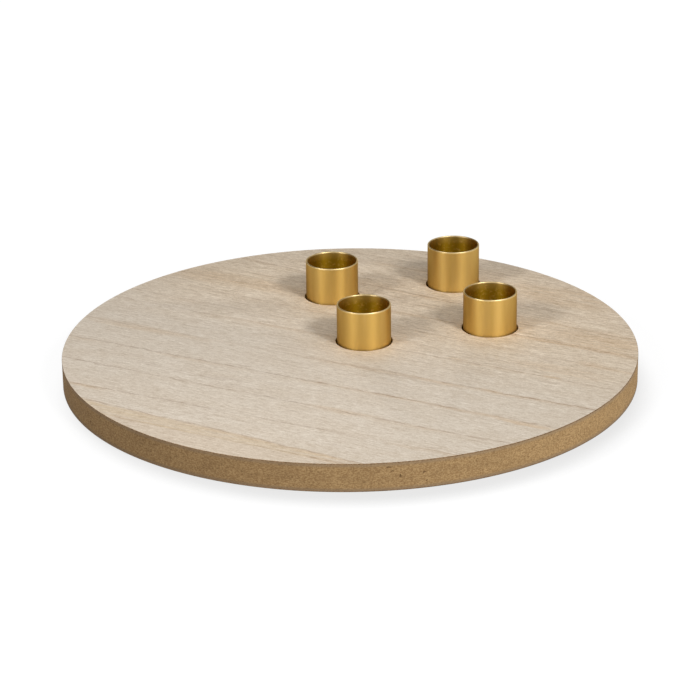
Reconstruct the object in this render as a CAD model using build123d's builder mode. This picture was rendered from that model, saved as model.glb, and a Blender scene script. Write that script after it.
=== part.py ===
"""Advent candle holder: a round veneered board with four loose candle cups.

All sizes are in millimetres. The board stands on Z = 0 with its centre at the origin and +Z up.
+Y points from the cup nearest the middle of the board to the cup nearest its rim, and the grain
of the face veneer runs about along X.
"""

import os

from build123d import *

# Board: a fibreboard core between a face veneer and a backing veneer
BOARD_DIAMETER = 250.0
CORE_THICKNESS = 11.3
VENEER_THICKNESS = 0.5
ARRIS_RADIUS = 0.2

# Candle cup: drawn from sheet metal, open at the top, for a taper candle
CANDLE_DIAMETER = 22.0
CANDLE_CLEARANCE = 0.15
CUP_WALL = 0.7
CUP_HEIGHT = 25.0
CUP_INSIDE_BEND = 0.9

# Sockets: flat-bottomed holes, cut from the face of the board by a bit with slightly rounded corners
SOCKET_CLEARANCE = 0.65
SOCKET_DEPTH = 7.8
SOCKET_CORNER_RADIUS = 0.5
HIGH_CUP_RISE = 2.1

# Cup group: four sockets on a circle, which is set close to the rim on one side of the board
CUP_CIRCLE_DIAMETER = 81.3
RIM_MARGIN = 23.1
GROUP_ASIDE = 2.4

# Heights of the layers, from the table up
core_bottom = VENEER_THICKNESS
core_top = core_bottom + CORE_THICKNESS
board_top = core_top + VENEER_THICKNESS

# Radii that the candle sets, from the bore outwards
bore_radius = CANDLE_DIAMETER / 2 + CANDLE_CLEARANCE
cup_radius = bore_radius + CUP_WALL
cup_outside_bend = CUP_INSIDE_BEND + CUP_WALL
socket_radius = cup_radius + SOCKET_CLEARANCE

# A veneer is thin, so its edge is eased over half of it at most
board_radius = BOARD_DIAMETER / 2
arris = min(ARRIS_RADIUS, VENEER_THICKNESS / 2)

# The four sockets, counter-clockwise from the one nearest the middle of the board: the direction
# from the middle of the group in degrees, and the depth below the face. The one nearest the rim
# is shallower, so its cup stands higher than the other three.
sockets = (
    (-90, SOCKET_DEPTH),
    (0, SOCKET_DEPTH),
    (90, SOCKET_DEPTH - HIGH_CUP_RISE),
    (180, SOCKET_DEPTH),
)
cup_circle_radius = CUP_CIRCLE_DIAMETER / 2
group_reach = RIM_MARGIN + socket_radius + cup_circle_radius
group_middle = Vector(GROUP_ASIDE, board_radius - group_reach)
socket_depths = [depth for _, depth in sockets]
socket_places = [
    group_middle + Vector(cup_circle_radius, 0).rotate(Axis.Z, direction) for direction, _ in sockets
]

os.makedirs("parts", exist_ok=True)


# Backing veneer: a plain disc whose lower edge is eased
with BuildPart() as bottom_veneer:
    with BuildSketch():
        Circle(board_radius)
    extrude(amount=VENEER_THICKNESS)
    fillet(bottom_veneer.edges().filter_by(GeomType.CIRCLE).sort_by(Axis.Z)[0], radius=arris)
bottom_veneer.part.label = "bottom_veneer"


# Core: the disc, with the lower part of each socket drilled into it
with BuildPart() as board_core:
    with BuildSketch(Plane.XY.offset(core_bottom)):
        Circle(board_radius)
    extrude(amount=CORE_THICKNESS)
    for place, depth in zip(socket_places, socket_depths):
        with Locations((place.X, place.Y, core_top)):
            Hole(socket_radius, depth=depth - VENEER_THICKNESS)
    socket_floors = board_core.faces().filter_by(Axis.Z).sort_by(SortBy.AREA)[: len(sockets)]
    fillet(socket_floors.edges(), radius=SOCKET_CORNER_RADIUS)
board_core.part.label = "board_core"


# Face veneer: the sockets pass right through it, and its upper edges are eased at the rim and the sockets
with BuildPart() as top_veneer:
    with BuildSketch(Plane.XY.offset(core_top)):
        Circle(board_radius)
        with Locations(*socket_places):
            Circle(socket_radius, mode=Mode.SUBTRACT)
    extrude(amount=VENEER_THICKNESS)
    fillet(top_veneer.edges().filter_by(GeomType.CIRCLE).group_by(Axis.Z)[-1], radius=arris)
top_veneer.part.label = "top_veneer"


for layer in (bottom_veneer.part, board_core.part, top_veneer.part):
    export_step(layer, f"parts/{layer.label}.step")
    print(f"{layer.label}: {layer.volume:.0f} mm3")


# Candle cups: one drawn profile, turned about the axis of each socket and set on its floor.
# The two bends share a centre and the lip is a full round, so the sheet keeps its thickness.
lip_start = CUP_HEIGHT - CUP_WALL / 2
for number, (place, depth) in enumerate(zip(socket_places, socket_depths), start=1):
    seat = Vector(place.X, place.Y, board_top - depth)
    with BuildPart() as candle_cup:
        with BuildSketch(Plane(origin=seat, x_dir=(1, 0, 0), z_dir=(0, -1, 0))):
            with BuildLine():
                underside = Line((0, 0), (cup_radius - cup_outside_bend, 0))
                outer_bend = TangentArc(
                    underside @ 1, (cup_radius, cup_outside_bend), tangent=underside % 1
                )
                outer_wall = Line(outer_bend @ 1, (cup_radius, lip_start))
                lip = TangentArc(outer_wall @ 1, (bore_radius, lip_start), tangent=outer_wall % 1)
                bore_wall = Line(lip @ 1, (bore_radius, CUP_WALL + CUP_INSIDE_BEND))
                inner_bend = TangentArc(
                    bore_wall @ 1, (bore_radius - CUP_INSIDE_BEND, CUP_WALL), tangent=bore_wall % 1
                )
                cup_floor = Line(inner_bend @ 1, (0, CUP_WALL))
                Line(cup_floor @ 1, underside @ 0)
            make_face()
        revolve(axis=Axis(seat, (0, 0, 1)))
    candle_cup.part.label = f"candle_cup_{number}"
    export_step(candle_cup.part, f"parts/{candle_cup.part.label}.step")
    print(
        f"{candle_cup.part.label}: {candle_cup.part.volume:.0f} mm3, axis at "
        f"({seat.X:.2f}, {seat.Y:.2f}), seat {seat.Z:.2f}, rim {seat.Z + CUP_HEIGHT:.2f}"
    )
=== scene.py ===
# %% [markdown]
# # An advent candle holder
# The object is a round fibreboard disc, veneered with pale wood on both faces. Four metal cups with a
# satin gold finish drop loosely into sockets that are drilled in from above, and each cup takes one
# candle. The imported solids give every size and place here. They load as a frame that stays fixed, and
# each lesson below makes one piece or one finish around it. The size of the frame is kept.

# %% The frame
import math
from types import SimpleNamespace

import bpy
from mathutils import Matrix, Vector


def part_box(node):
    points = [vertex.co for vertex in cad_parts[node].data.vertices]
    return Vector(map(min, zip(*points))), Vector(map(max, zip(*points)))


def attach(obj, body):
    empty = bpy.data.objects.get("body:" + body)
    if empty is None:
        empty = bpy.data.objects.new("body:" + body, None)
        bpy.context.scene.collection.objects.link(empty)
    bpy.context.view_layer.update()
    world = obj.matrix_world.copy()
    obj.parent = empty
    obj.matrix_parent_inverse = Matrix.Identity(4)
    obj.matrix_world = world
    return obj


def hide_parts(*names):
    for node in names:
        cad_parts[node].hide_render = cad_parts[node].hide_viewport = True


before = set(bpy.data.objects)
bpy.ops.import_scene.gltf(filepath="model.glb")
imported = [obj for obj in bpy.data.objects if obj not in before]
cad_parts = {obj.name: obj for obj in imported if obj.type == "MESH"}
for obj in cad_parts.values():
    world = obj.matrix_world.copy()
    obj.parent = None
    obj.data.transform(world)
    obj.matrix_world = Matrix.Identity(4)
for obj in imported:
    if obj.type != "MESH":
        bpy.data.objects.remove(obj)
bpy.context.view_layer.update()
MM = 0.001
print("nodes:", ", ".join(sorted(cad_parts)))

# %% [markdown]
# ## Camera
# A long lens about 1.2 m away flattens the perspective, as in a catalogue picture. The camera stands to
# the right of the front and looks down at about 22 degrees, so the board shows as a slim ellipse with its
# edge below. It could be placed by a Track To constraint, but a rotation that is worked out from the
# three directions of the picture also takes the slight lean of the view.

# %% Camera
CAMERA_AZIMUTH = math.radians(30.92)
CAMERA_ELEVATION = math.radians(22.40)
CAMERA_DISTANCE = 1.1779
CAMERA_ROLL = math.radians(-0.70)
AIM_ABOVE_CENTRE = 9.4 * MM
LENS_MM = 138.5


def direction(azimuth, elevation):
    """The way from the object to a point round it; azimuth 0 is the front and grows to the right."""
    level = math.cos(elevation)
    return Vector((level * math.sin(azimuth), -level * math.cos(azimuth), math.sin(elevation)))


def turned_to(forward):
    """The rotation of a camera or a lamp that looks along forward, with its top up."""
    right = forward.cross(Vector((0, 0, 1))).normalized()
    up = right.cross(forward)
    return Matrix((right, up, -forward)).transposed()


scene = bpy.context.scene
camera_place = direction(CAMERA_AZIMUTH, CAMERA_ELEVATION) * CAMERA_DISTANCE
picture_up = turned_to(-camera_place.normalized()).col[1]
sight = (picture_up * AIM_ABOVE_CENTRE - camera_place).normalized()
camera = bpy.data.objects.new("camera", bpy.data.cameras.new("camera"))
camera.data.lens = LENS_MM
camera.matrix_world = Matrix.LocRotScale(
    camera_place, turned_to(sight) @ Matrix.Rotation(CAMERA_ROLL, 3, "Z"), None
)
scene.collection.objects.link(camera)
scene.camera = camera
scene.view_settings.view_transform = "Standard"
print("camera at", [round(x, 3) for x in camera_place])

# %% [markdown]
# ## Node helpers
# Every finish below is a small network of nodes. Wiring them by hand takes many lines, so a few helpers
# keep the lessons short: one adds a node and fills its sockets, one wraps an output so that numbers which
# vary over the surface can be written as plain formulas, and three handle vectors. All of them work in
# shader trees and in Geometry Nodes trees.

# %% Node helpers
def feed(socket, value):
    """Link a socket to another node's output, or set it to a constant."""
    if isinstance(value, Field):
        value = value.socket
    if isinstance(value, bpy.types.NodeSocket):
        socket.id_data.links.new(value, socket)
    else:
        socket.default_value = value


def add_node(tree, kind, inputs=None, **settings):
    """A new node with its settings, and its inputs fed by name or number."""
    made = tree.nodes.new(kind)
    for name, value in settings.items():
        setattr(made, name, value)
    for name, value in (inputs or {}).items():
        feed(made.inputs[name], value)
    return made


class Field:
    """A number that varies over a surface: a node's output, usable in plain formulas."""

    def __init__(self, socket):
        self.socket = socket
        self.tree = socket.id_data

    def calc(self, operation, *others):
        """This number and the others through one Math node."""
        inputs = dict(enumerate((self, *others)))
        return Field(add_node(self.tree, "ShaderNodeMath", inputs, operation=operation).outputs[0])

    def __add__(self, other):
        return self.calc("ADD", other)

    def __sub__(self, other):
        return self.calc("SUBTRACT", other)

    def __mul__(self, other):
        return self.calc("MULTIPLY", other)

    def __truediv__(self, other):
        return self.calc("DIVIDE", other)

    def swing(self):
        """Noise from 0 to 1, moved down so that it swings about 0."""
        return self - 0.5

    def ramp(self, start, end):
        """0 before start, 1 after end and a smooth rise between; start above end makes it a fall."""
        inputs = {"Value": self, "From Min": start, "From Max": end}
        made = add_node(self.tree, "ShaderNodeMapRange", inputs, interpolation_type="SMOOTHSTEP")
        return Field(made.outputs["Result"])


def vector(tree, x, y, z):
    """Three numbers as one vector."""
    return add_node(tree, "ShaderNodeCombineXYZ", {"X": x, "Y": y, "Z": z}).outputs["Vector"]


def parts_of(tree, whole):
    """The X, Y and Z of a vector, as three numbers."""
    return [Field(output) for output in add_node(tree, "ShaderNodeSeparateXYZ", {0: whole}).outputs]


def vector_math(tree, operation, *given, result="Vector", **named):
    """One result of a Vector Math node."""
    inputs = {**dict(enumerate(given)), **named}
    return add_node(tree, "ShaderNodeVectorMath", inputs, operation=operation).outputs[result]


print("node helpers ready")

# %% [markdown]
# ## Floor and light
# Catalogue pictures are taken on white paper between softboxes, inside a white surround. Three area lamps
# are the softboxes: one on the left and one on the right of the camera, which throw the two soft shadows
# of each cup, and a weak one above the camera, whose shadows hide behind the cups. The world is the
# surround. Each lamp's power is worked out from the share of light that it gives the board's face, and
# the shares add up to about one, so a colour renders about as it is written.

# %% Softboxes
def add_softbox(name, side, elevation, share, distance, size):
    """A square lamp at an angle beside the camera, which gives the board's face this share of its light."""
    way = direction(CAMERA_AZIMUTH + math.radians(side), math.radians(elevation))
    lamp = bpy.data.lights.new(name, "AREA")
    lamp.size = size
    lamp.energy = share * (math.pi * distance) ** 2 / way.z
    holder = bpy.data.objects.new(name, lamp)
    holder.matrix_world = Matrix.LocRotScale(way * distance, turned_to(-way), None)
    scene.collection.objects.link(holder)
    print(f"{name}: {lamp.energy:.1f} W")


add_softbox("left softbox", side=-51, elevation=32, share=0.24, distance=1.8, size=0.4)
add_softbox("right softbox", side=40, elevation=38, share=0.35, distance=2.4, size=0.5)
add_softbox("front softbox", side=5, elevation=46, share=0.09, distance=2.4, size=1.0)

# %% [markdown]
# The surround is white to the camera. For the light that falls on the board it is dimmer, and brighter on
# the right than on the left, as in a room with a window on one side. The shiny cups show the white
# backdrop behind the board, and the room elsewhere.

# %% White surround
WHITE = (1, 1, 1, 1)
SURROUND_SHARE = 0.26
SURROUND_LEAN = 0.9
BRIGHT_SIDE = math.radians(75)
BACKDROP_EDGES = (math.cos(math.radians(32)), math.cos(math.radians(14)))


def towards(place, way):
    """How far a place, or a direction, reaches along a way."""
    return Field(vector_math(place.id_data, "DOT_PRODUCT", place, way, result="Value"))


def light_path(tree, *kinds):
    """1 for a ray of one of these kinds, and 0 for any other."""
    path = add_node(tree, "ShaderNodeLightPath")
    chosen = Field(path.outputs[kinds[0]])
    for kind in kinds[1:]:
        chosen = chosen.calc("MAXIMUM", path.outputs[kind])
    return chosen


world = bpy.data.worlds.new("white surround")
scene.world = world
world.use_nodes = True
surround = world.node_tree
look_way = add_node(surround, "ShaderNodeTexCoord").outputs["Generated"]
bright_side = towards(look_way, direction(CAMERA_AZIMUTH + BRIGHT_SIDE, 0))
room = bright_side * (SURROUND_SHARE * SURROUND_LEAN) + SURROUND_SHARE
backdrop = towards(look_way, direction(CAMERA_AZIMUTH + math.pi, 0)).ramp(*BACKDROP_EDGES)
in_mirror = light_path(surround, "Is Glossy Ray", "Is Transmission Ray") * backdrop
seen_white = light_path(surround, "Is Camera Ray").calc("MAXIMUM", in_mirror)
feed(surround.nodes["Background"].inputs["Color"], WHITE)
feed(surround.nodes["Background"].inputs["Strength"], room + seen_white * (room * -1 + 1))
print("surround:", SURROUND_SHARE)

# %% [markdown]
# The paper is white too. Where the board stands it keeps the shadow: part of its brightness is light that
# falls on it, and the rest is dimmed by an ambient occlusion node close to the board, because the thin
# dark line where a board meets the paper is what makes it stand there. Away from the board the paper runs
# out to plain white.

# %% Finish of the paper
PAPER_BOUNCE = 0.30
PAPER_SHADE = 0.09
PAPER_LIFT = 0.93
SHADOW_REACH = (0.13, 0.30)
CONTACT_REACH = 20 * MM
CONTACT_SHADE = 0.24
CONTACT_COVER = (0.15, 0.50)
CONTACT_WAY = direction(CAMERA_AZIMUTH + math.radians(194), math.radians(12))
CONTACT_RAYS = 16


def make_paper_finish():
    """White paper that keeps the shadow of the board."""
    material = bpy.data.materials.new("white paper")
    material.use_nodes = True
    tree = material.node_tree
    tree.nodes.clear()
    open_sky = add_node(tree, "ShaderNodeAmbientOcclusion", {
        "Distance": CONTACT_REACH, "Normal": vector(tree, *CONTACT_WAY),
    }, samples=CONTACT_RAYS)
    covered = (Field(open_sky.outputs["AO"]) * -1 + 1).ramp(*CONTACT_COVER)
    contact = covered * -CONTACT_SHADE + 1
    place = add_node(tree, "ShaderNodeTexCoord").outputs["Object"]
    far = Field(vector_math(tree, "LENGTH", place, result="Value")).ramp(*SHADOW_REACH)
    seen = light_path(tree, "Is Camera Ray", "Is Glossy Ray", "Is Transmission Ray")
    white = seen * (PAPER_SHADE - PAPER_BOUNCE) + PAPER_BOUNCE
    lit = add_node(tree, "ShaderNodeBsdfDiffuse", {"Color": vector(tree, white, white, white)})
    lift = seen * contact * (far * (1 - PAPER_LIFT) + PAPER_LIFT)
    lifted = add_node(tree, "ShaderNodeEmission", {"Strength": lift})
    both = add_node(tree, "ShaderNodeAddShader", {0: lit.outputs[0], 1: lifted.outputs[0]})
    add_node(tree, "ShaderNodeOutputMaterial", {"Surface": both.outputs[0]})
    return material


paper_finish = make_paper_finish()
print("white paper:", len(paper_finish.node_tree.nodes), "nodes")

# %% Paper
PAPER_SIZE = 12.0
half_paper = PAPER_SIZE / 2
paper_corners = [(x * half_paper, y * half_paper, 0) for x, y in ((-1, -1), (1, -1), (1, 1), (-1, 1))]
paper_mesh = bpy.data.meshes.new("paper")
paper_mesh.from_pydata(paper_corners, [], [range(len(paper_corners))])
paper_mesh.materials.append(paper_finish)
paper = bpy.data.objects.new("paper", paper_mesh)
scene.collection.objects.link(paper)
print("paper:", PAPER_SIZE, "m square")

# %% [markdown]
# ## Finish of the veneer
# The face is a thin leaf of pale, ring-porous wood, sanded and left almost raw. What the eye reads as
# wood is several things at different scales: growth lines 7 to 25 mm apart, thin and broken, with a soft
# brown band beside them; long fibres and short open pores along the grain; and slow changes of the beige.
# A picture of wood would do, but it can't follow the board's own growth lines. So each is a node pattern
# on the object's coordinates in millimetres, stretched along the grain. These helpers make such patterns.

# %% Patterns in millimetres
def light_amount(level):
    """One part of a screen colour, 0 to 255, as an amount of light, by the sRGB curve."""
    part = level / 255
    if level > 10:
        return ((part + 0.055) / 1.055) ** 2.4
    return part / 12.92


def screen_colour(red, green, blue):
    """A colour as a screen shows it, 0 to 255, in the linear values that shaders use."""
    return (light_amount(red), light_amount(green), light_amount(blue), 1)


def new_finish(name, **constants):
    """A material with one Principled shader, whose constants are set on the shader itself."""
    material = bpy.data.materials.new(name)
    material.use_nodes = True
    tree = material.node_tree
    shader = tree.nodes["Principled BSDF"]
    for socket, value in constants.items():
        shader.inputs[socket.replace("_", " ")].default_value = value
    return material, tree, shader


def place_in_mm(tree):
    """The place on the object along X, Y and Z, in millimetres."""
    coordinates = add_node(tree, "ShaderNodeTexCoord").outputs["Object"]
    return [part / MM for part in parts_of(tree, coordinates)]


def reach_to_side(x, y, side):
    """How far a place lies towards one side of the board, in millimetres."""
    return x * side.x + y * side.y


def noise(tree, place, sizes, detail, seed):
    """Soft noise between 0 and 1, whose blotches have these sizes in millimetres along X, Y and Z."""
    shrunk = [coordinate / size for coordinate, size in zip(place, sizes)]
    where = vector(tree, shrunk[0] + seed, *shrunk[1:])
    made = add_node(tree, "ShaderNodeTexNoise", {"Vector": where, "Scale": 1.0, "Detail": detail})
    return Field(made.outputs["Fac"])


def make_patterns(tree, place, table):
    """The patterns of a table by name: sizes, detail, seed, and the levels where a pattern sets in."""
    made = SimpleNamespace()
    for name, (sizes, detail, seed, levels) in table.items():
        pattern = noise(tree, place, sizes, detail, seed)
        setattr(made, name, pattern.ramp(*levels) if levels else pattern)
    return made


def mix(tree, amount, first, second, blend="MIX"):
    """The first colour turned into the second by amount."""
    made = add_node(tree, "ShaderNodeMix", data_type="RGBA", blend_type=blend)
    feed(made.inputs["Factor"], amount)
    feed(made.inputs["A"], first)
    feed(made.inputs["B"], second)
    return made.outputs["Result"]


def multiply(tree, colour, other):
    """One colour times another."""
    return mix(tree, 1.0, colour, other, blend="MULTIPLY")


def bump(tree, shader, relief, depth_mm):
    """Let a relief from 0 to 1 tilt the surface, as if it were that deep."""
    inputs = {"Height": relief, "Distance": depth_mm * MM, "Strength": 1.0}
    feed(shader.inputs["Normal"], add_node(tree, "ShaderNodeBump", inputs).outputs["Normal"])


print("pattern helpers ready")

# %% [markdown]
# The growth lines have places chosen for this board, because they are what tells one board from another.
# Each runs right across with its own tilt, and fades from one strength on the left to another on the
# right. Below a line lies its soft band, where the late wood of that year is browner.

# %% Growth lines
# Each line: where it crosses the middle of the board in mm, its tilt against X, its strength left and right
GROWTH_LINES = (
    (-111.5, 0.050, 0.80, 0.80),
    (-104.8, 0.000, 0.75, 0.75),
    (-87.0, 0.072, 0.75, 0.75),
    (-66.0, 0.056, 0.80, 0.80),
    (-43.0, 0.052, 0.85, 0.85),
    (-20.0, 0.058, 0.45, 0.95),
    (5.5, 0.042, 0.50, 0.70),
    (15.0, 0.025, 0.40, 0.40),
    (29.0, 0.010, 0.45, 0.60),
    (45.0, 0.020, 0.40, 1.00),
    (58.0, 0.020, 0.35, 0.35),
    (68.0, -0.030, 0.65, 0.65),
    (80.0, -0.010, 0.45, 0.45),
    (96.0, -0.030, 0.45, 0.45),
    (112.0, -0.040, 0.40, 0.40),
)
LINE_WIDTH = 1.0
BAND_WIDTH = 3.5
LEFT_TO_RIGHT = (-50, 50)


def growth(x, y):
    """How near a place is to a growth line, from 0 to 1: in the thin line, and in the soft band below it."""
    line, band = y * 0, y * 0
    right_part = x.ramp(*LEFT_TO_RIGHT)
    for middle, tilt, left, right in GROWTH_LINES:
        beside = y - x * tilt - middle
        strength = right_part * (right - left) + left
        line = line.calc("MAXIMUM", beside.calc("ABSOLUTE").ramp(LINE_WIDTH, 0) * strength)
        band = band.calc("MAXIMUM", beside.ramp(-BAND_WIDTH, 0) * beside.ramp(LINE_WIDTH, 0) * strength)
    return line, band


print(len(GROWTH_LINES), "growth lines")

# %% [markdown]
# Here and there the wood is browner than elsewhere, in long soft patches along the grain. Noise could
# scatter such patches, but these have places of their own too, so each is an ellipse that fades outwards.

# %% Brown patches
# Each patch: middle X and Y, half its length along the grain and half its width in mm, and its strength
BROWN_PATCHES = (
    (-92, -27, 45, 4.0, 0.5),
    (-90, 43.5, 45, 10.5, 0.75),
    (85, 46.5, 38, 3.0, 1.0),
    (76, -15.5, 11, 1.8, 1.0),
    (30, -19.0, 60, 2.2, 0.35),
    (105, -39.5, 18, 2.2, 0.8),
    (35, -64.0, 22, 3.0, 0.5),
    (95, 58.0, 34, 12.0, 0.8),
    (92, 18.0, 30, 8.0, 0.45),
    (-40, 70.0, 34, 6.0, 0.5),
    (57, 99.0, 44, 15.0, 0.7),
    (93, 10.0, 6, 1.6, 0.8),
    (48, 8.3, 6, 1.6, 0.6),
    (104, 31.0, 12, 4.0, 0.6),
)
GRAIN_TILT = 0.052


def brown_patches(x, y):
    """How deep a place is in a brown patch, from 0 to 1."""
    deepest = y * 0
    for middle_x, middle_y, half_length, half_width, strength in BROWN_PATCHES:
        along = (x - middle_x) / half_length
        across = (y - (x - middle_x) * GRAIN_TILT - middle_y) / half_width
        patch = (along * along + across * across).ramp(1.0, 0.0) * strength
        deepest = deepest.calc("MAXIMUM", patch)
    return deepest


print(len(BROWN_PATCHES), "brown patches")

# %% [markdown]
# The finer patterns are noise with a fixed seed each. Two of them, a slow drift and a small tremor, bend
# the grain, so that no line is quite straight. The grit of the sanded surface is alike in every direction.
# The others follow the bent grain: they are long along it and fine across it, and hardly change through
# the thin leaf.

# %% Patterns of the wood
# Each pattern: sizes in mm along X, Y and Z, detail, seed, and the levels of noise between which it sets in
BOARD_PATTERNS = {
    "drift": ((60, 18, 60), 2.0, 3.0, None),
    "tremor": ((9, 5, 60), 4.0, 8.0, None),
    "grit": ((0.6, 0.6, 0.6), 2.0, 12.0, None),
}
GRAIN_PATTERNS = {
    "streaks": ((26, 1.4, 60), 3.0, 5.0, None),
    "fibres": ((13, 0.55, 60), 2.0, 7.0, None),
    "flecks": ((3.6, 0.55, 60), 2.0, 9.0, None),
    "contours": ((120, 4.5, 60), 0.0, 17.0, None),
    "coarse_areas": ((24, 7, 60), 2.0, 15.0, (0.35, 0.65)),
    "line_dashes": ((4.5, 0.6, 60), 3.0, 2.0, (0.42, 0.60)),
    "line_stretches": ((32, 9, 60), 2.0, 14.0, (0.20, 0.50)),
    "hairline_stretches": ((11, 5, 60), 3.0, 18.0, (0.45, 0.65)),
    "band_stretches": ((55, 9, 60), 2.0, 4.0, (0.38, 0.66)),
    "mottle": ((26, 8, 60), 3.0, 1.0, (0.35, 0.65)),
    "pores": ((2.0, 0.30, 60), 1.0, 11.0, (0.64, 0.76)),
}
DRIFT_MM = 2.4
TREMOR_MM = 2.2


def make_wood(tree):
    """The wood's patterns, the place on the board (x and y), and the place across its bent grain."""
    x, y, z = place_in_mm(tree)
    board = make_patterns(tree, (x, y, z), BOARD_PATTERNS)
    across = y + board.drift.swing() * DRIFT_MM + board.tremor.swing() * TREMOR_MM
    wood = make_patterns(tree, (x, across - x * GRAIN_TILT, z), GRAIN_PATTERNS)
    wood.x, wood.y, wood.across, wood.grit = x, y, across, board.grit
    return wood


print(len(BOARD_PATTERNS) + len(GRAIN_PATTERNS), "patterns of the wood")

# %% [markdown]
# The ground of the wood is beige with a slightly darker mottle. The strip along the front edge is another
# growth zone, with a yellow stripe between its first two lines. The wood is warmer towards the back, and a
# painted shade makes it a little darker on the right, where less light falls. Over the ground, the fibres
# lighten and darken the wood: more in blue than in red, so that dark fibres are warm as well as dark, and
# more strongly at the back, where the grain is coarser.

# %% Ground and grain of the veneer
VENEER_LIGHT = screen_colour(214, 201, 184)
VENEER_DARK = screen_colour(211, 197, 179)
VENEER_STRIP = screen_colour(210, 194, 174)
VENEER_YELLOW = screen_colour(207, 188, 161)
# The edges of the yellow stripe, in mm from where it sets in to where it is full
YELLOW_START = (-112.6, -111.6)
YELLOW_START_TILT = 0.05
YELLOW_END = (-103.8, -106.8)
YELLOW_STREAKS = (0.25, 0.70)
BACK_REACH = (-30, 60)
BACK_WARMTH = (1.02, 0.97, 0.895, 1)
# Painted shade: the face is painted a little darker towards this side of the board
PAINTED_SHADE_SIDE = direction(math.radians(75.92), 0)
PAINTED_SHADE_REACH = (35, 125)
PAINTED_SIDE_SHADE = (0.92, 0.92, 0.915, 1)
# How far each pattern lightens and darkens the wood, and by how much more at the back
STREAK_TONE = 0.13
FIBRE_TONE = 0.18
COARSE_FIBRE_TONE = 0.36
FLECK_TONE = 0.70
GRIT_TONE = 0.50
MORE_GRAIN_AT_BACK = 1.3
MORE_FLECKS_AT_BACK = 0.35
GRAIN_TINT = (0.84, 1.0, 1.20)


def veneer_ground(tree, wood, back):
    """The wood's colour before its grain and its marks."""
    colour = mix(tree, wood.mottle, VENEER_LIGHT, VENEER_DARK)
    start = (wood.across - wood.x * YELLOW_START_TILT).ramp(*YELLOW_START)
    strip = wood.across.ramp(*YELLOW_END)
    colour = mix(tree, strip, colour, VENEER_STRIP)
    colour = mix(tree, start * strip * wood.streaks.ramp(*YELLOW_STREAKS), colour, VENEER_YELLOW)
    # Painted shade, darker towards one side of the board
    side_shade_amount = reach_to_side(wood.x, wood.y, PAINTED_SHADE_SIDE).ramp(*PAINTED_SHADE_REACH)
    colour = multiply(tree, colour, mix(tree, back, WHITE, BACK_WARMTH))
    return multiply(tree, colour, mix(tree, side_shade_amount, WHITE, PAINTED_SIDE_SHADE))


def veneer_grain(tree, wood, back):
    """What the fibres multiply the wood's colour by."""
    fibre_tone = wood.coarse_areas * COARSE_FIBRE_TONE + FIBRE_TONE
    grain = wood.streaks.swing() * STREAK_TONE + wood.fibres.swing() * fibre_tone
    fine = wood.flecks.swing() * FLECK_TONE + wood.grit.swing() * GRIT_TONE
    tone = grain * (back * MORE_GRAIN_AT_BACK + 1) + fine * (back * MORE_FLECKS_AT_BACK + 1)
    return vector(tree, *(tone * tint + 1 for tint in GRAIN_TINT))


print("ground and grain of the veneer ready")

# %% Veneer
BAND_BROWN = screen_colour(198, 168, 131)
LINE_BROWN = screen_colour(128, 94, 66)
PORE_BROWN = screen_colour(126, 96, 68)
BAND_STREAKS = (0.25, 0.60)
BAND_STRENGTH = 0.6
HAIRLINE_WIDTH = 0.025
HAIRLINE_STRENGTH = 0.18
LINE_STRENGTH = 0.42
LINE_FLECKS = (0.38, 0.66)
LINE_FLECK_STRENGTH = 0.45
PORE_STRENGTH = 0.5
PORE_SHARE = 0.4
PORE_SHARE_IN_BAND = 0.6
# Shares of the relief, and how deep it is
FIBRE_RELIEF = 0.5
GRIT_RELIEF = 0.3
PORE_RELIEF = 0.3
LINE_RELIEF = 0.4
VENEER_RELIEF_MM = 0.05


def make_veneer():
    """Pale sanded veneer, its grain about along X."""
    material, tree, shader = new_finish("pale veneer", Roughness=0.65, Specular_IOR_Level=0.3)
    wood = make_wood(tree)
    back = wood.y.ramp(*BACK_REACH)
    line, band = growth(wood.x, wood.across)
    line = line * wood.line_dashes * wood.line_stretches
    line_strength = wood.flecks.ramp(*LINE_FLECKS) * LINE_FLECK_STRENGTH + LINE_STRENGTH
    hairline = wood.contours.swing().calc("ABSOLUTE").ramp(HAIRLINE_WIDTH, 0) * wood.hairline_stretches
    band = (band * wood.band_stretches).calc("MAXIMUM", brown_patches(wood.x, wood.across))
    band = band * wood.streaks.ramp(*BAND_STREAKS)
    pores = wood.pores * (band * PORE_SHARE_IN_BAND + PORE_SHARE)
    colour = mix(tree, band * BAND_STRENGTH, veneer_ground(tree, wood, back), BAND_BROWN)
    colour = multiply(tree, colour, veneer_grain(tree, wood, back))
    colour = mix(tree, hairline * HAIRLINE_STRENGTH, colour, LINE_BROWN)
    colour = mix(tree, line * line_strength, colour, LINE_BROWN)
    colour = mix(tree, pores * PORE_STRENGTH, colour, PORE_BROWN)
    feed(shader.inputs["Base Color"], colour)
    relief = wood.fibres * FIBRE_RELIEF + wood.grit * GRIT_RELIEF - pores * PORE_RELIEF - line * LINE_RELIEF
    bump(tree, shader, relief, VENEER_RELIEF_MM)
    return material


veneer_finish = make_veneer()
print("veneer:", len(veneer_finish.node_tree.nodes), "nodes")
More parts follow.
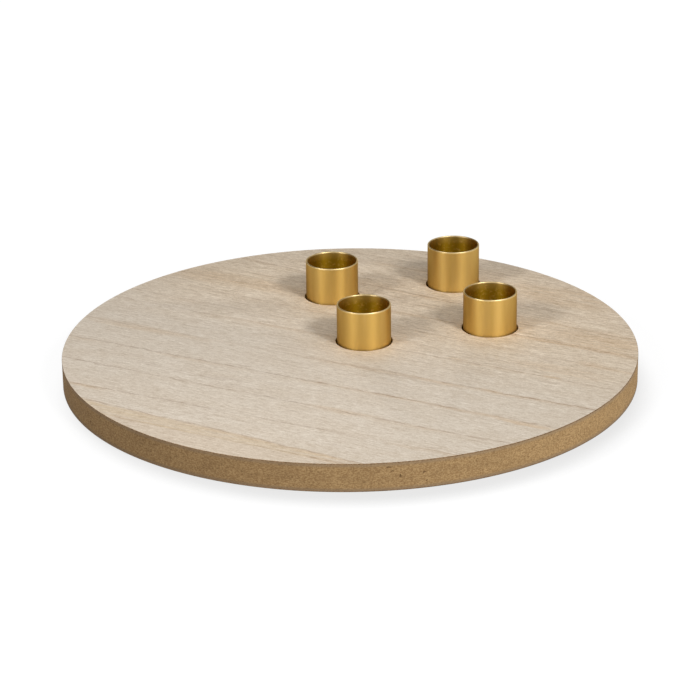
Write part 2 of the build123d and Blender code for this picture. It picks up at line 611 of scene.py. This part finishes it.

# %% [markdown]
# ## Finish of the fibreboard
# The core is pressed from wood fibres. Its edge is cut across the layers: brown, finely speckled, with
# fibres lying flat, and denser, greyer and smoother near the two faces where the press was hottest. Noise
# that is squashed in height gives the lying fibres, and the height in the board gives the denser skin.
# Shade is painted into its colour as well: darker in a nick and on the walls of a socket, where the depth
# below the rim and the slope of the surface choose those places, darker towards the floor, and paler on
# the side of the edge where more light falls.

# %% Fibreboard colours and patterns
FIBRE_BROWN = screen_colour(153, 120, 80)
FIBRE_LIGHT = screen_colour(184, 151, 106)
FIBRE_DARK = screen_colour(116, 88, 56)
FIBRE_SKIN = screen_colour(146, 124, 100)
NICK_SHADE_BROWN = screen_colour(84, 60, 36)
FIBRE_PATTERNS = {
    "clumps": ((0.9, 0.9, 0.5), 3.0, 2.0, None),
    "specks": ((0.42, 0.42, 0.30), 2.0, 6.0, None),
    "spots": ((1.5, 1.5, 1.0), 2.0, 8.0, None),
    "patches": ((14, 14, 5), 2.0, 4.0, None),
}
# Colours over the brown, in order: what each follows, where it sets in and is full, strength, colour
FIBRE_LAYERS = (
    ("clumps", 0.36, 0.66, 1.00, FIBRE_LIGHT),
    ("specks", 0.53, 0.72, 0.65, FIBRE_DARK),
    ("specks", 0.44, 0.28, 0.55, FIBRE_LIGHT),
    ("spots", 0.56, 0.72, 0.50, FIBRE_DARK),
    # Painted shade: the edge darkens towards the floor
    ("height", 2.0, 0.5, 0.45, FIBRE_DARK),
    ("patches", 0.40, 0.70, 0.18, FIBRE_DARK),
    ("near_face", 0.70, 0.98, 0.60, FIBRE_SKIN),
)
print(len(FIBRE_LAYERS), "layers of fibre colour")

# %% Fibreboard
RAGGED_SKIN = 0.12
# In mm below the rim: where the painted shade in a nick sets in and is full, the zone of the nicks, and the
# zone of the sockets
NICK_SHADE_DEPTHS = (0.02, 0.15)
NICK_ZONE = (2, 1)
SOCKET_ZONE = (5, 10)
NICK_SHADE_STRENGTH = 0.45
STEEP_SLOPE = (0.8, 0.3)
SOCKET_SHADE_STRENGTH = 0.6
# Painted light and shade: the edge is paler on the side where more light falls, from the first of these
# shades to the second
LIT_SIDE = direction(math.radians(130.92), 0)
FIBRE_LIGHT_AND_SHADE = ((0.73, 0.72, 0.70, 1), (1.29, 1.32, 1.34, 1))
CLUMP_RELIEF = 0.5
SPECK_RELIEF = 0.5
FIBRE_RELIEF_MM = 0.10
core_low, core_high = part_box("board_core")
core_middle_mm = (core_low.z + core_high.z) / 2 / MM
core_reach_mm = (core_high.z - core_low.z) / 2 / MM
core_radius_mm = core_high.x / MM


def make_fibreboard():
    """Pressed fibres, seen on the cut edge of the board and in its sockets."""
    material, tree, shader = new_finish("fibreboard", Roughness=0.8, Specular_IOR_Level=0.2)
    x, y, z = place_in_mm(tree)
    fibre = make_patterns(tree, (x, y, z), FIBRE_PATTERNS)
    fibre.height = z
    from_middle = (z - core_middle_mm).calc("ABSOLUTE") / core_reach_mm
    fibre.near_face = from_middle + fibre.clumps.swing() * RAGGED_SKIN
    colour = FIBRE_BROWN
    for name, start, full, strength, layer in FIBRE_LAYERS:
        colour = mix(tree, getattr(fibre, name).ramp(start, full) * strength, colour, layer)
    below_rim = (x * x + y * y).calc("SQRT") * -1 + core_radius_mm
    # Painted shade in the hollow of each nick
    shaded_nick = below_rim.ramp(*NICK_SHADE_DEPTHS) * below_rim.ramp(*NICK_ZONE)
    colour = mix(tree, shaded_nick * NICK_SHADE_STRENGTH, colour, NICK_SHADE_BROWN)
    # Painted shade on the steep walls of the sockets
    facing = add_node(tree, "ShaderNodeNewGeometry").outputs["Normal"]
    steep = parts_of(tree, facing)[2].calc("ABSOLUTE").ramp(*STEEP_SLOPE)
    shaded_socket_wall = steep * below_rim.ramp(*SOCKET_ZONE)
    colour = mix(tree, shaded_socket_wall * SOCKET_SHADE_STRENGTH, colour, FIBRE_DARK)
    # Painted light and shade: paler towards the lit side of the edge, darker on the other
    pale = reach_to_side(x, y, LIT_SIDE).ramp(-core_radius_mm, core_radius_mm)
    feed(shader.inputs["Base Color"], multiply(tree, colour, mix(tree, pale, *FIBRE_LIGHT_AND_SHADE)))
    bump(tree, shader, fibre.clumps * CLUMP_RELIEF + fibre.specks * SPECK_RELIEF, FIBRE_RELIEF_MM)
    return material


fibreboard_finish = make_fibreboard()
print("fibreboard:", len(fibreboard_finish.node_tree.nodes), "nodes")

# %% [markdown]
# The veneers were trimmed flush with the core, so their cut edge is a thin line that is browner and
# duller than the face. It has a finish of its own, because the face's long grain would look wrong on it.

# %% Cut edge of the veneer
EDGE_BROWN = screen_colour(150, 122, 90)
EDGE_DARK = screen_colour(112, 88, 62)
EDGE_PATTERNS = {"specks": ((0.8, 0.8, 0.4), 2.0, 9.0, None)}
EDGE_DARK_LEVELS = (0.35, 0.7)
EDGE_RELIEF_MM = 0.04


def make_cut_edge():
    """The trimmed edge of a veneer leaf."""
    material, tree, shader = new_finish("cut veneer edge", Roughness=0.75, Specular_IOR_Level=0.2)
    specks = make_patterns(tree, place_in_mm(tree), EDGE_PATTERNS).specks
    colour = mix(tree, specks.ramp(*EDGE_DARK_LEVELS), EDGE_BROWN, EDGE_DARK)
    feed(shader.inputs["Base Color"], colour)
    bump(tree, shader, specks, EDGE_RELIEF_MM)
    return material


cut_edge_finish = make_cut_edge()
print("cut edge:", len(cut_edge_finish.node_tree.nodes), "nodes")

# %% [markdown]
# ## The board's three layers
# Backing veneer, core and face veneer are discs of one size, and the four sockets are drilled through the
# face into the core. A disc could be modelled by hand with its holes, but the three layers follow one
# rule: a disc from one height to another, less four drills on a circle. One Geometry Nodes tree does that
# for each of them. It marks the edges that a maker would ease, and a Bevel modifier then rounds only
# those. These helpers start and end a tree.

# %% Helpers for Geometry Nodes trees
def new_tree(name, **inputs):
    """An empty Geometry Nodes tree; each input has a name and a socket type."""
    tree = bpy.data.node_groups.new(name, "GeometryNodeTree")
    tree.interface.new_socket("Geometry", in_out="OUTPUT", socket_type="NodeSocketGeometry")
    for label, kind in inputs.items():
        tree.interface.new_socket(label.replace("_", " "), in_out="INPUT", socket_type="NodeSocket" + kind)
    given = add_node(tree, "NodeGroupInput")
    return tree, given.outputs


def realize(tree, instances):
    """Instances made into plain geometry."""
    return add_node(tree, "GeometryNodeRealizeInstances", {"Geometry": instances}).outputs["Geometry"]


def end_tree(tree, geometry, finish, edge=None, edge_finish=None):
    """Realize Instances, Set Material and the output, which end every tree here."""
    inputs = {"Geometry": realize(tree, geometry), "Material": finish}
    made = add_node(tree, "GeometryNodeSetMaterial", inputs)
    if edge:
        inputs = {"Geometry": made.outputs["Geometry"], "Selection": edge, "Material": edge_finish}
        made = add_node(tree, "GeometryNodeSetMaterial", inputs)
    add_node(tree, "NodeGroupOutput", {"Geometry": made.outputs["Geometry"]})


def choose_by_index(tree, kind, choices):
    """The choice that has the number of the point."""
    switch = add_node(tree, "GeometryNodeIndexSwitch", data_type=kind)
    for _ in choices[2:]:
        switch.index_switch_items.new()
    feed(switch.inputs["Index"], add_node(tree, "GeometryNodeInputIndex").outputs["Index"])
    for number, choice in enumerate(choices):
        feed(switch.inputs[str(number)], choice)
    return switch.outputs["Output"]


print("tree helpers ready")

# %% [markdown]
# The bare edge of fibreboard chips easily, and a used board has a few small nicks in it. A bump in the
# finish would not break the outline, so each nick is a flattened ball, a quarter of a millimetre deep,
# that the tree cuts out of the edge.

# %% Nicks in the edge
NICK_DEPTH = 0.25 * MM
NICK_ROUNDNESS = 3
# Each nick: its side of the board in degrees from the front, its height, half length and half width in mm
NICKS = (
    (37.7, 10.1, 1.4, 0.45),
    (38.4, 8.5, 0.7, 0.30),
    (39.8, 6.1, 0.4, 0.90),
    (44.2, 6.8, 0.7, 0.60),
    (44.7, 3.1, 0.4, 0.50),
    (118.0, 7.5, 0.9, 0.40),
    (163.0, 4.2, 0.7, 0.50),
    (205.0, 9.4, 1.1, 0.40),
    (251.0, 5.8, 0.5, 0.70),
    (296.0, 8.9, 0.8, 0.40),
    (331.0, 4.9, 0.6, 0.50),
)


def make_nicks(tree, radius, count):
    """Small flat cutters on the edge, one for each nick."""
    places, turns, sizes = [], [], []
    for degrees, up, half_length, half_width in NICKS:
        side = math.radians(degrees)
        outward = direction(side, 0)
        places.append(vector(tree, radius * outward.x, radius * outward.y, up * MM))
        turns.append(Vector((0, 0, side)))
        sizes.append(Vector((half_length * MM, NICK_DEPTH, half_width * MM)))
    row = add_node(tree, "GeometryNodeMeshLine", {"Count": count})
    spots = add_node(tree, "GeometryNodeSetPosition", {
        "Geometry": row.outputs["Mesh"], "Position": choose_by_index(tree, "VECTOR", places),
    })
    ball = add_node(tree, "GeometryNodeMeshIcoSphere", {"Radius": 1.0, "Subdivisions": NICK_ROUNDNESS})
    cutters = add_node(tree, "GeometryNodeInstanceOnPoints", {
        "Points": spots.outputs["Geometry"], "Instance": ball.outputs["Mesh"],
        "Rotation": choose_by_index(tree, "VECTOR", turns), "Scale": choose_by_index(tree, "VECTOR", sizes),
    })
    return realize(tree, cutters.outputs["Instances"])


print(len(NICKS), "nicks")

# %% [markdown]
# The drills are cylinders on the circle of sockets. Each stands on the floor of its socket, so that one cut
# leaves a flat floor, and one stands higher, because its socket is less deep. The cut leaves sharp edges.
# Those at one or two given heights are eased: round a veneer's outer face, or at the floors of the core's
# sockets.

# %% Drills and eased edges
CUP_COUNT = 4
# The circle of sockets starts on the right and turns towards the back, where the socket is less deep
HIGH_SOCKET = 1
HALF_STEP = 0.5
# Edges whose faces turn by more radians than this are eased
EASED_CORNER = 1.0
# How far such an edge may lie from the height that is given
SAME_HEIGHT = 0.01 * MM


def make_drills(tree, given):
    """Drills on the circle of sockets, which stand on the sockets' floors."""
    floor = Field(given["Floor"])
    index = Field(add_node(tree, "GeometryNodeInputIndex").outputs["Index"])
    is_high = index.calc("COMPARE", HIGH_SOCKET, HALF_STEP)
    foot = floor + is_high * (Field(given["High Floor"]) - floor)
    drill_middle = vector(tree, 0, 0, foot + Field(given["Drill Length"]) / 2)
    circle = add_node(tree, "GeometryNodeMeshCircle", {
        "Vertices": CUP_COUNT, "Radius": given["Circle Radius"],
    })
    spots = add_node(tree, "GeometryNodeSetPosition", {
        "Geometry": circle.outputs["Mesh"],
        "Offset": vector_math(tree, "ADD", given["Middle"], drill_middle),
    })
    drill = add_node(tree, "GeometryNodeMeshCylinder", {
        "Vertices": given["Socket Steps"], "Radius": given["Socket Radius"], "Depth": given["Drill Length"],
    })
    drills = add_node(tree, "GeometryNodeInstanceOnPoints", {
        "Points": spots.outputs["Geometry"], "Instance": drill.outputs["Mesh"],
    })
    return realize(tree, drills.outputs["Instances"])


def choose_eased_edges(tree, given):
    """1 on the sharp edges at the heights that are eased, and 0 elsewhere."""
    height = parts_of(tree, add_node(tree, "GeometryNodeInputPosition").outputs["Position"])[2]
    corner = Field(add_node(tree, "GeometryNodeInputMeshEdgeAngle").outputs["Unsigned Angle"])
    low = height.calc("COMPARE", given["Eased Height"], SAME_HEIGHT)
    high = height.calc("COMPARE", given["High Eased Height"], SAME_HEIGHT)
    return corner.calc("GREATER_THAN", EASED_CORNER) * low.calc("MAXIMUM", high)


print("drills for", CUP_COUNT, "sockets")

# %% Tree of a board layer
# A face whose normal rises less than this belongs to the cut edge
UPRIGHT = 0.5


def make_layer_tree():
    """A disc between two heights, less its sockets and nicks; the edges to ease carry a bevel weight."""
    tree, given = new_tree(
        "drilled disc", Radius="Float", Bottom="Float", Top="Float", Middle="Vector", Circle_Radius="Float",
        Socket_Radius="Float", Floor="Float", High_Floor="Float", Drill_Length="Float", Eased_Height="Float",
        High_Eased_Height="Float", Nick_Count="Int", Rim_Steps="Int", Socket_Steps="Int", Finish="Material",
        Edge_Finish="Material",
    )
    bottom, top = Field(given["Bottom"]), Field(given["Top"])
    disc = add_node(tree, "GeometryNodeMeshCylinder", {
        "Vertices": given["Rim Steps"], "Radius": given["Radius"], "Depth": top - bottom,
    })
    lifted = add_node(tree, "GeometryNodeSetPosition", {
        "Geometry": disc.outputs["Mesh"], "Offset": vector(tree, 0, 0, (top + bottom) / 2),
    })
    drilled = add_node(tree, "GeometryNodeMeshBoolean", operation="DIFFERENCE", solver="EXACT")
    feed(drilled.inputs["Mesh 1"], lifted.outputs["Geometry"])
    feed(drilled.inputs["Mesh 2"], make_drills(tree, given))
    feed(drilled.inputs["Mesh 2"], make_nicks(tree, Field(given["Radius"]), given["Nick Count"]))
    weighted = add_node(tree, "GeometryNodeStoreNamedAttribute", {
        "Geometry": drilled.outputs["Mesh"], "Name": "bevel_weight_edge",
        "Value": choose_eased_edges(tree, given),
    }, data_type="FLOAT", domain="EDGE")
    facing = parts_of(tree, add_node(tree, "GeometryNodeInputNormal").outputs["Normal"])
    edge = facing[2].calc("ABSOLUTE").calc("LESS_THAN", UPRIGHT)
    end_tree(tree, weighted.outputs["Geometry"], given["Finish"], edge, given["Edge Finish"])
    return tree


layer_tree = make_layer_tree()
print("drilled disc:", len(layer_tree.nodes), "nodes")

# %% [markdown]
# The frame gives the layers' sizes. A modifier runs the tree for each layer, and its result becomes the
# layer's own plain mesh, which stands for the CAD node and rides on the board.

# %% Sizes of the board
face_low, face_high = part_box("top_veneer")
back_low, back_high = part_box("bottom_veneer")
cup_boxes = [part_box(f"candle_cup_{number}") for number in range(1, CUP_COUNT + 1)]
cup_axes = [(low + high) / 2 for low, high in cup_boxes]
group_middle = sum(cup_axes, Vector()) / len(cup_axes)
group_middle.z = 0
circle_radius = (cup_axes[1].x - cup_axes[3].x) / 2
cup_radius = (cup_boxes[0][1].x - cup_boxes[0][0].x) / 2
floor_height, high_floor_height = cup_boxes[0][0].z, cup_boxes[2][0].z
SOCKET_CLEARANCE = 0.65 * MM
ARRIS = 0.2 * MM
SOCKET_CORNER = 0.5 * MM
print("board radius, socket circle, cup radius in mm:",
      [round(value / MM, 2) for value in (core_high.x, circle_radius, cup_radius)])


# %% From a tree to a plain piece
def run_tree(name, tree, **inputs):
    """A new object whose mesh comes from a Geometry Nodes tree with these inputs."""
    piece = bpy.data.objects.new(name, bpy.data.meshes.new(name))
    scene.collection.objects.link(piece)
    modifier = piece.modifiers.new(tree.name, "NODES")
    modifier.node_group = tree
    for socket in tree.interface.items_tree:
        if socket.in_out == "INPUT":
            modifier[socket.identifier] = inputs[socket.name.replace(" ", "_")]
    return piece


def make_plain(piece):
    """Turn what the modifiers make into the piece's own mesh, and remove them."""
    graph = bpy.context.evaluated_depsgraph_get()
    finished = bpy.data.meshes.new_from_object(
        piece.evaluated_get(graph), preserve_all_data_layers=True, depsgraph=graph
    )
    piece.modifiers.clear()
    piece.data = finished
    piece.data.name = piece.name


print("piece helpers ready")

# %% Layers
RIM_STEPS = 720
SOCKET_STEPS = 144
EASE_STEPS = 3
# A face whose normal rises more than this is shaded flat
FLAT_FACE = 0.99
SMOOTH_ANGLE = math.radians(40)


def make_layer(name, node, low, high, eased_heights, ease, finish, edge_finish, nicks=0):
    """One layer of the board, which stands for its CAD node."""
    layer = run_tree(
        name, layer_tree, Radius=high.x, Bottom=low.z, Top=high.z, Middle=group_middle,
        Circle_Radius=circle_radius, Socket_Radius=cup_radius + SOCKET_CLEARANCE,
        Floor=floor_height, High_Floor=high_floor_height, Drill_Length=2 * face_high.z,
        Eased_Height=eased_heights[0], High_Eased_Height=eased_heights[-1], Nick_Count=nicks,
        Rim_Steps=RIM_STEPS, Socket_Steps=SOCKET_STEPS, Finish=finish, Edge_Finish=edge_finish,
    )
    arris = layer.modifiers.new("eased edges", "BEVEL")
    arris.limit_method = "WEIGHT"
    arris.width = ease
    arris.segments = EASE_STEPS
    make_plain(layer)
    for face in layer.data.polygons:
        face.use_smooth = abs(face.normal.z) < FLAT_FACE
    layer.data.set_sharp_from_angle(angle=SMOOTH_ANGLE)
    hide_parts(node)
    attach(layer, "board")
    print(f"{name}: {len(layer.data.polygons)} faces")
    return layer


face_veneer = make_layer(
    "face_veneer", "top_veneer", face_low, face_high, [face_high.z], ARRIS,
    veneer_finish, cut_edge_finish
)
core = make_layer(
    "fibreboard_core", "board_core", core_low, core_high, [floor_height, high_floor_height], SOCKET_CORNER,
    fibreboard_finish, fibreboard_finish, nicks=len(NICKS)
)
backing_veneer = make_layer(
    "backing_veneer", "bottom_veneer", back_low, back_high, [back_low.z], ARRIS,
    veneer_finish, cut_edge_finish
)

# %% [markdown]
# ## Finish of the cups
# The cups are thin sheet metal with a satin gold lacquer. A satin metal is almost all reflection, so it
# is a metallic shader with a fairly high roughness, and its look comes from what stands round it. Slow
# changes of roughness and a very slight unevenness of the sheet break up the long highlights, as they do
# on a thin drawn cup. The inside is dimpled. Light and shade are painted into the lacquer's colour: a pale
# painted highlight on the lip, painted light just inside it, and painted shade deeper inside, with lighter
# patches there that stand for mottled reflections. Each cup came out of the lacquer a little lighter or
# darker. A texture can't know where the inside or the lip is, so the cup's mesh carries that as the
# attributes inside, depth and tone.

# %% Gold lacquer
GOLD = screen_colour(227, 190, 111)
GOLD_DEEP = screen_colour(220, 182, 101)
# Painted shade inside the cups, and lighter patches that stand for mottled reflections
GOLD_INSIDE_SHADED = screen_colour(181, 139, 26)
GOLD_INSIDE_GLINT = screen_colour(214, 172, 74)
GOLD_LIP_HIGHLIGHT = screen_colour(255, 230, 170)
GOLD_GRAZING = (0.50, 0.43, 0.40, 1)
GOLD_PATTERNS = {
    "cloud": ((5, 5, 40), 3.0, 1.0, None),
    "grain": ((0.25, 0.25, 0.25), 2.0, 3.0, None),
    "dimples": ((1.6, 1.6, 1.2), 3.0, 5.0, None),
}
CLOUD_LEVELS = (0.35, 0.65)
DIMPLE_LEVELS = (0.5, 0.75)
# In mm below the lip: where the painted highlight on the lip and the painted light inside it end and are full
LIP_HIGHLIGHT_DEPTHS = (0.8, 0.3)
LIT_BORE_DEPTHS = (4.5, 0.5)
LIP_HIGHLIGHT_STRENGTH = 0.9
LIT_BORE_STRENGTH = 0.45
LEAST_ROUGHNESS = 0.40
CLOUD_ROUGHNESS = 0.08
GRAIN_ROUGHNESS = 0.06
GRAIN_RELIEF = 0.1
GOLD_RELIEF_MM = 0.03


def make_gold():
    """Satin gold lacquer on sheet metal."""
    material, tree, shader = new_finish(
        "gold lacquer", Metallic=1.0, Anisotropic=0.6, Anisotropic_Rotation=0.25, Specular_Tint=GOLD_GRAZING
    )
    gold = make_patterns(tree, place_in_mm(tree), GOLD_PATTERNS)
    inside, depth, tone = (
        Field(add_node(tree, "ShaderNodeAttribute", attribute_name=name).outputs["Fac"])
        for name in ("inside", "depth", "tone")
    )
    depth_mm = depth / MM
    colour = mix(tree, gold.cloud.ramp(*CLOUD_LEVELS), GOLD, GOLD_DEEP)
    # Painted shade inside the cup, with lighter patches that stand for mottled reflections
    shaded_colour_inside = mix(tree, gold.dimples.ramp(*DIMPLE_LEVELS), GOLD_INSIDE_SHADED, GOLD_INSIDE_GLINT)
    # Painted light on the inside just below the lip
    shaded_colour_inside = mix(tree, depth_mm.ramp(*LIT_BORE_DEPTHS) * LIT_BORE_STRENGTH, shaded_colour_inside, GOLD)
    colour = mix(tree, inside, colour, shaded_colour_inside)
    # Painted highlight on the lip
    colour = mix(tree, depth_mm.ramp(*LIP_HIGHLIGHT_DEPTHS) * LIP_HIGHLIGHT_STRENGTH, colour, GOLD_LIP_HIGHLIGHT)
    feed(shader.inputs["Base Color"], multiply(tree, colour, vector(tree, tone, tone, tone)))
    roughness = gold.cloud * CLOUD_ROUGHNESS + gold.grain * GRAIN_ROUGHNESS + LEAST_ROUGHNESS
    feed(shader.inputs["Roughness"], roughness)
    bump(tree, shader, gold.grain * GRAIN_RELIEF + inside * gold.dimples, GOLD_RELIEF_MM)
    return material


gold_finish = make_gold()
print("gold lacquer:", len(gold_finish.node_tree.nodes), "nodes")

# %% [markdown]
# ## The four cups
# A drawn cup is one sheet of even thickness, bent twice at the floor and rounded at the lip. It could be
# spun with the Screw modifier, but four cups that differ only in place suit one Geometry Nodes tree: a
# section with rounded corners is carried round a circle. The lip of a real cup is never quite level and
# its wall never quite round, so a little noise, with its own seed for each cup, moves them by less than a
# tenth of a millimetre.

# %% Section of a cup
BEND_STEPS = 8


def make_cup_section(tree, bore, sheet, height, bend, support):
    """The cup's section from the middle of its floor, up the bore, over the lip and down to the middle of its
    underside. Each point is a radius, a height and the radius of its corner; points without one keep the flat
    stretches flat beside the bends."""
    wall = bore + sheet
    outside_bend = bend + sheet
    lip = sheet / 2
    below_lip = height - lip - support
    points = (
        (bore * 0, sheet, 0),
        (bore - bend - support, sheet, 0),
        (bore, sheet, bend),
        (bore, sheet + bend + support, 0),
        (bore, below_lip, 0),
        (bore, height, lip),
        (wall, height, lip),
        (wall, below_lip, 0),
        (wall, outside_bend + support, 0),
        (wall, height * 0, outside_bend),
        (wall - outside_bend - support, height * 0, 0),
        (bore * 0, height * 0, 0),
    )
    places = [vector(tree, radius - bore, up * -1, 0) for radius, up, _ in points]
    line = add_node(tree, "GeometryNodeMeshLine", {"Count": len(points)})
    bent = add_node(tree, "GeometryNodeSetPosition", {
        "Geometry": line.outputs["Mesh"], "Position": choose_by_index(tree, "VECTOR", places),
    })
    curve = add_node(tree, "GeometryNodeMeshToCurve", {"Mesh": bent.outputs["Geometry"]})
    return add_node(tree, "GeometryNodeFilletCurve", {
        "Curve": curve.outputs["Curve"], "Count": BEND_STEPS,
        "Radius": choose_by_index(tree, "FLOAT", [corner for *_, corner in points]),
    }, mode="POLY").outputs["Curve"]


print("bends of", BEND_STEPS, "steps")

# %% Unevenness of a cup
LIP_NOISE_SCALE = 1.6
WALL_NOISE_SCALE = 2.4
LIP_ZONE = (0.7, 1.0)


def seeded_noise(tree, place, scale, seed):
    """Soft noise between 0 and 1 that differs from seed to seed."""
    inputs = {"Vector": place, "W": seed, "Scale": scale}
    return Field(add_node(tree, "ShaderNodeTexNoise", inputs, noise_dimensions="4D").outputs["Fac"])


def make_unevenness(tree, given, outward, share_of_height):
    """How far each point of a cup moves: its lip down, and its wall in or out."""
    on_wall = vector_math(tree, "ADD", outward, vector(tree, 0, 0, share_of_height))
    lip = seeded_noise(tree, outward, LIP_NOISE_SCALE, given["Seed"])
    wall = seeded_noise(tree, on_wall, WALL_NOISE_SCALE, given["Seed"])
    down = lip * share_of_height.ramp(*LIP_ZONE) * given["Lip Wave"]
    out = wall.swing() * given["Wall Wave"] * 2
    bulge = vector_math(tree, "SCALE", outward, Scale=out)
    return vector_math(tree, "ADD", bulge, vector(tree, 0, 0, down * -1))


print("unevenness ready")

# %% Tree of a cup
MERGE_DISTANCE = 0.001 * MM
# Where the inside starts, in shares of the sheet's thickness: across the wall, and up from the underside
INSIDE_OF_WALL = (0.5, 0.1)
INSIDE_OF_FLOOR = (0.4, 0.5)


def make_cup_tree():
    """A drawn cup: its section carried round a circle, made slightly uneven and set on its seat."""
    tree, given = new_tree(
        "drawn cup", Seat="Vector", Bore_Radius="Float", Sheet="Float", Height="Float", Inside_Bend="Float",
        Support="Float", Lip_Wave="Float", Wall_Wave="Float", Steps="Int", Seed="Float", Tone="Float",
        Finish="Material",
    )
    sizes = [Field(given[name]) for name in ("Bore Radius", "Sheet", "Height", "Inside Bend", "Support")]
    bore, sheet, height = sizes[:3]
    ring = add_node(tree, "GeometryNodeCurvePrimitiveCircle", {"Resolution": given["Steps"], "Radius": bore})
    swept = add_node(tree, "GeometryNodeCurveToMesh", {
        "Curve": ring.outputs["Curve"], "Profile Curve": make_cup_section(tree, *sizes),
    })
    cup = add_node(tree, "GeometryNodeMergeByDistance", {
        "Geometry": swept.outputs["Mesh"], "Distance": MERGE_DISTANCE,
    })
    x, y, z = parts_of(tree, add_node(tree, "GeometryNodeInputPosition").outputs["Position"])
    from_axis = vector(tree, x, y, 0)
    radius = Field(vector_math(tree, "LENGTH", from_axis, result="Value"))
    in_wall = radius.ramp(*(bore + sheet * share for share in INSIDE_OF_WALL))
    inside = in_wall * z.ramp(*(sheet * share for share in INSIDE_OF_FLOOR))
    for name, value in (("inside", inside), ("depth", height - z), ("tone", given["Tone"])):
        cup = add_node(tree, "GeometryNodeStoreNamedAttribute", {
            "Geometry": cup.outputs["Geometry"], "Name": name, "Value": value,
        }, data_type="FLOAT", domain="POINT")
    outward = vector_math(tree, "NORMALIZE", from_axis)
    moved = make_unevenness(tree, given, outward, z / height)
    cup = add_node(tree, "GeometryNodeSetPosition", {
        "Geometry": cup.outputs["Geometry"], "Offset": vector_math(tree, "ADD", moved, given["Seat"]),
    })
    smooth = add_node(tree, "GeometryNodeSetShadeSmooth", {"Geometry": cup.outputs["Geometry"]})
    end_tree(tree, smooth.outputs["Geometry"], given["Finish"])
    return tree


cup_tree = make_cup_tree()
print("drawn cup:", len(cup_tree.nodes), "nodes")

# %% Cups
SHEET = 0.7 * MM
INSIDE_BEND = 0.9 * MM
# How far beside a bend the flat stretch starts
SUPPORT = 0.15 * MM
LIP_WAVE = 0.08 * MM
WALL_WAVE = 0.05 * MM
CUP_STEPS = 144
# How light the lacquer of each cup is
CUP_TONES = (1.02, 1.0, 0.92, 0.98)

for number, (low, high) in enumerate(cup_boxes, start=1):
    seat = cup_axes[number - 1].copy()
    seat.z = low.z
    cup = run_tree(
        f"drawn_cup_{number}", cup_tree, Seat=seat, Bore_Radius=cup_radius - SHEET, Sheet=SHEET,
        Height=high.z - low.z, Inside_Bend=INSIDE_BEND, Support=SUPPORT, Lip_Wave=LIP_WAVE,
        Wall_Wave=WALL_WAVE, Steps=CUP_STEPS, Seed=float(number), Tone=CUP_TONES[number - 1],
        Finish=gold_finish,
    )
    make_plain(cup)
    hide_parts(f"candle_cup_{number}")
    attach(cup, f"cup_{number}")
    rim = max(point.co.z for point in cup.data.vertices)
    print(f"{cup.name}: {len(cup.data.polygons)} faces, rim at {rim / MM:.2f} mm")
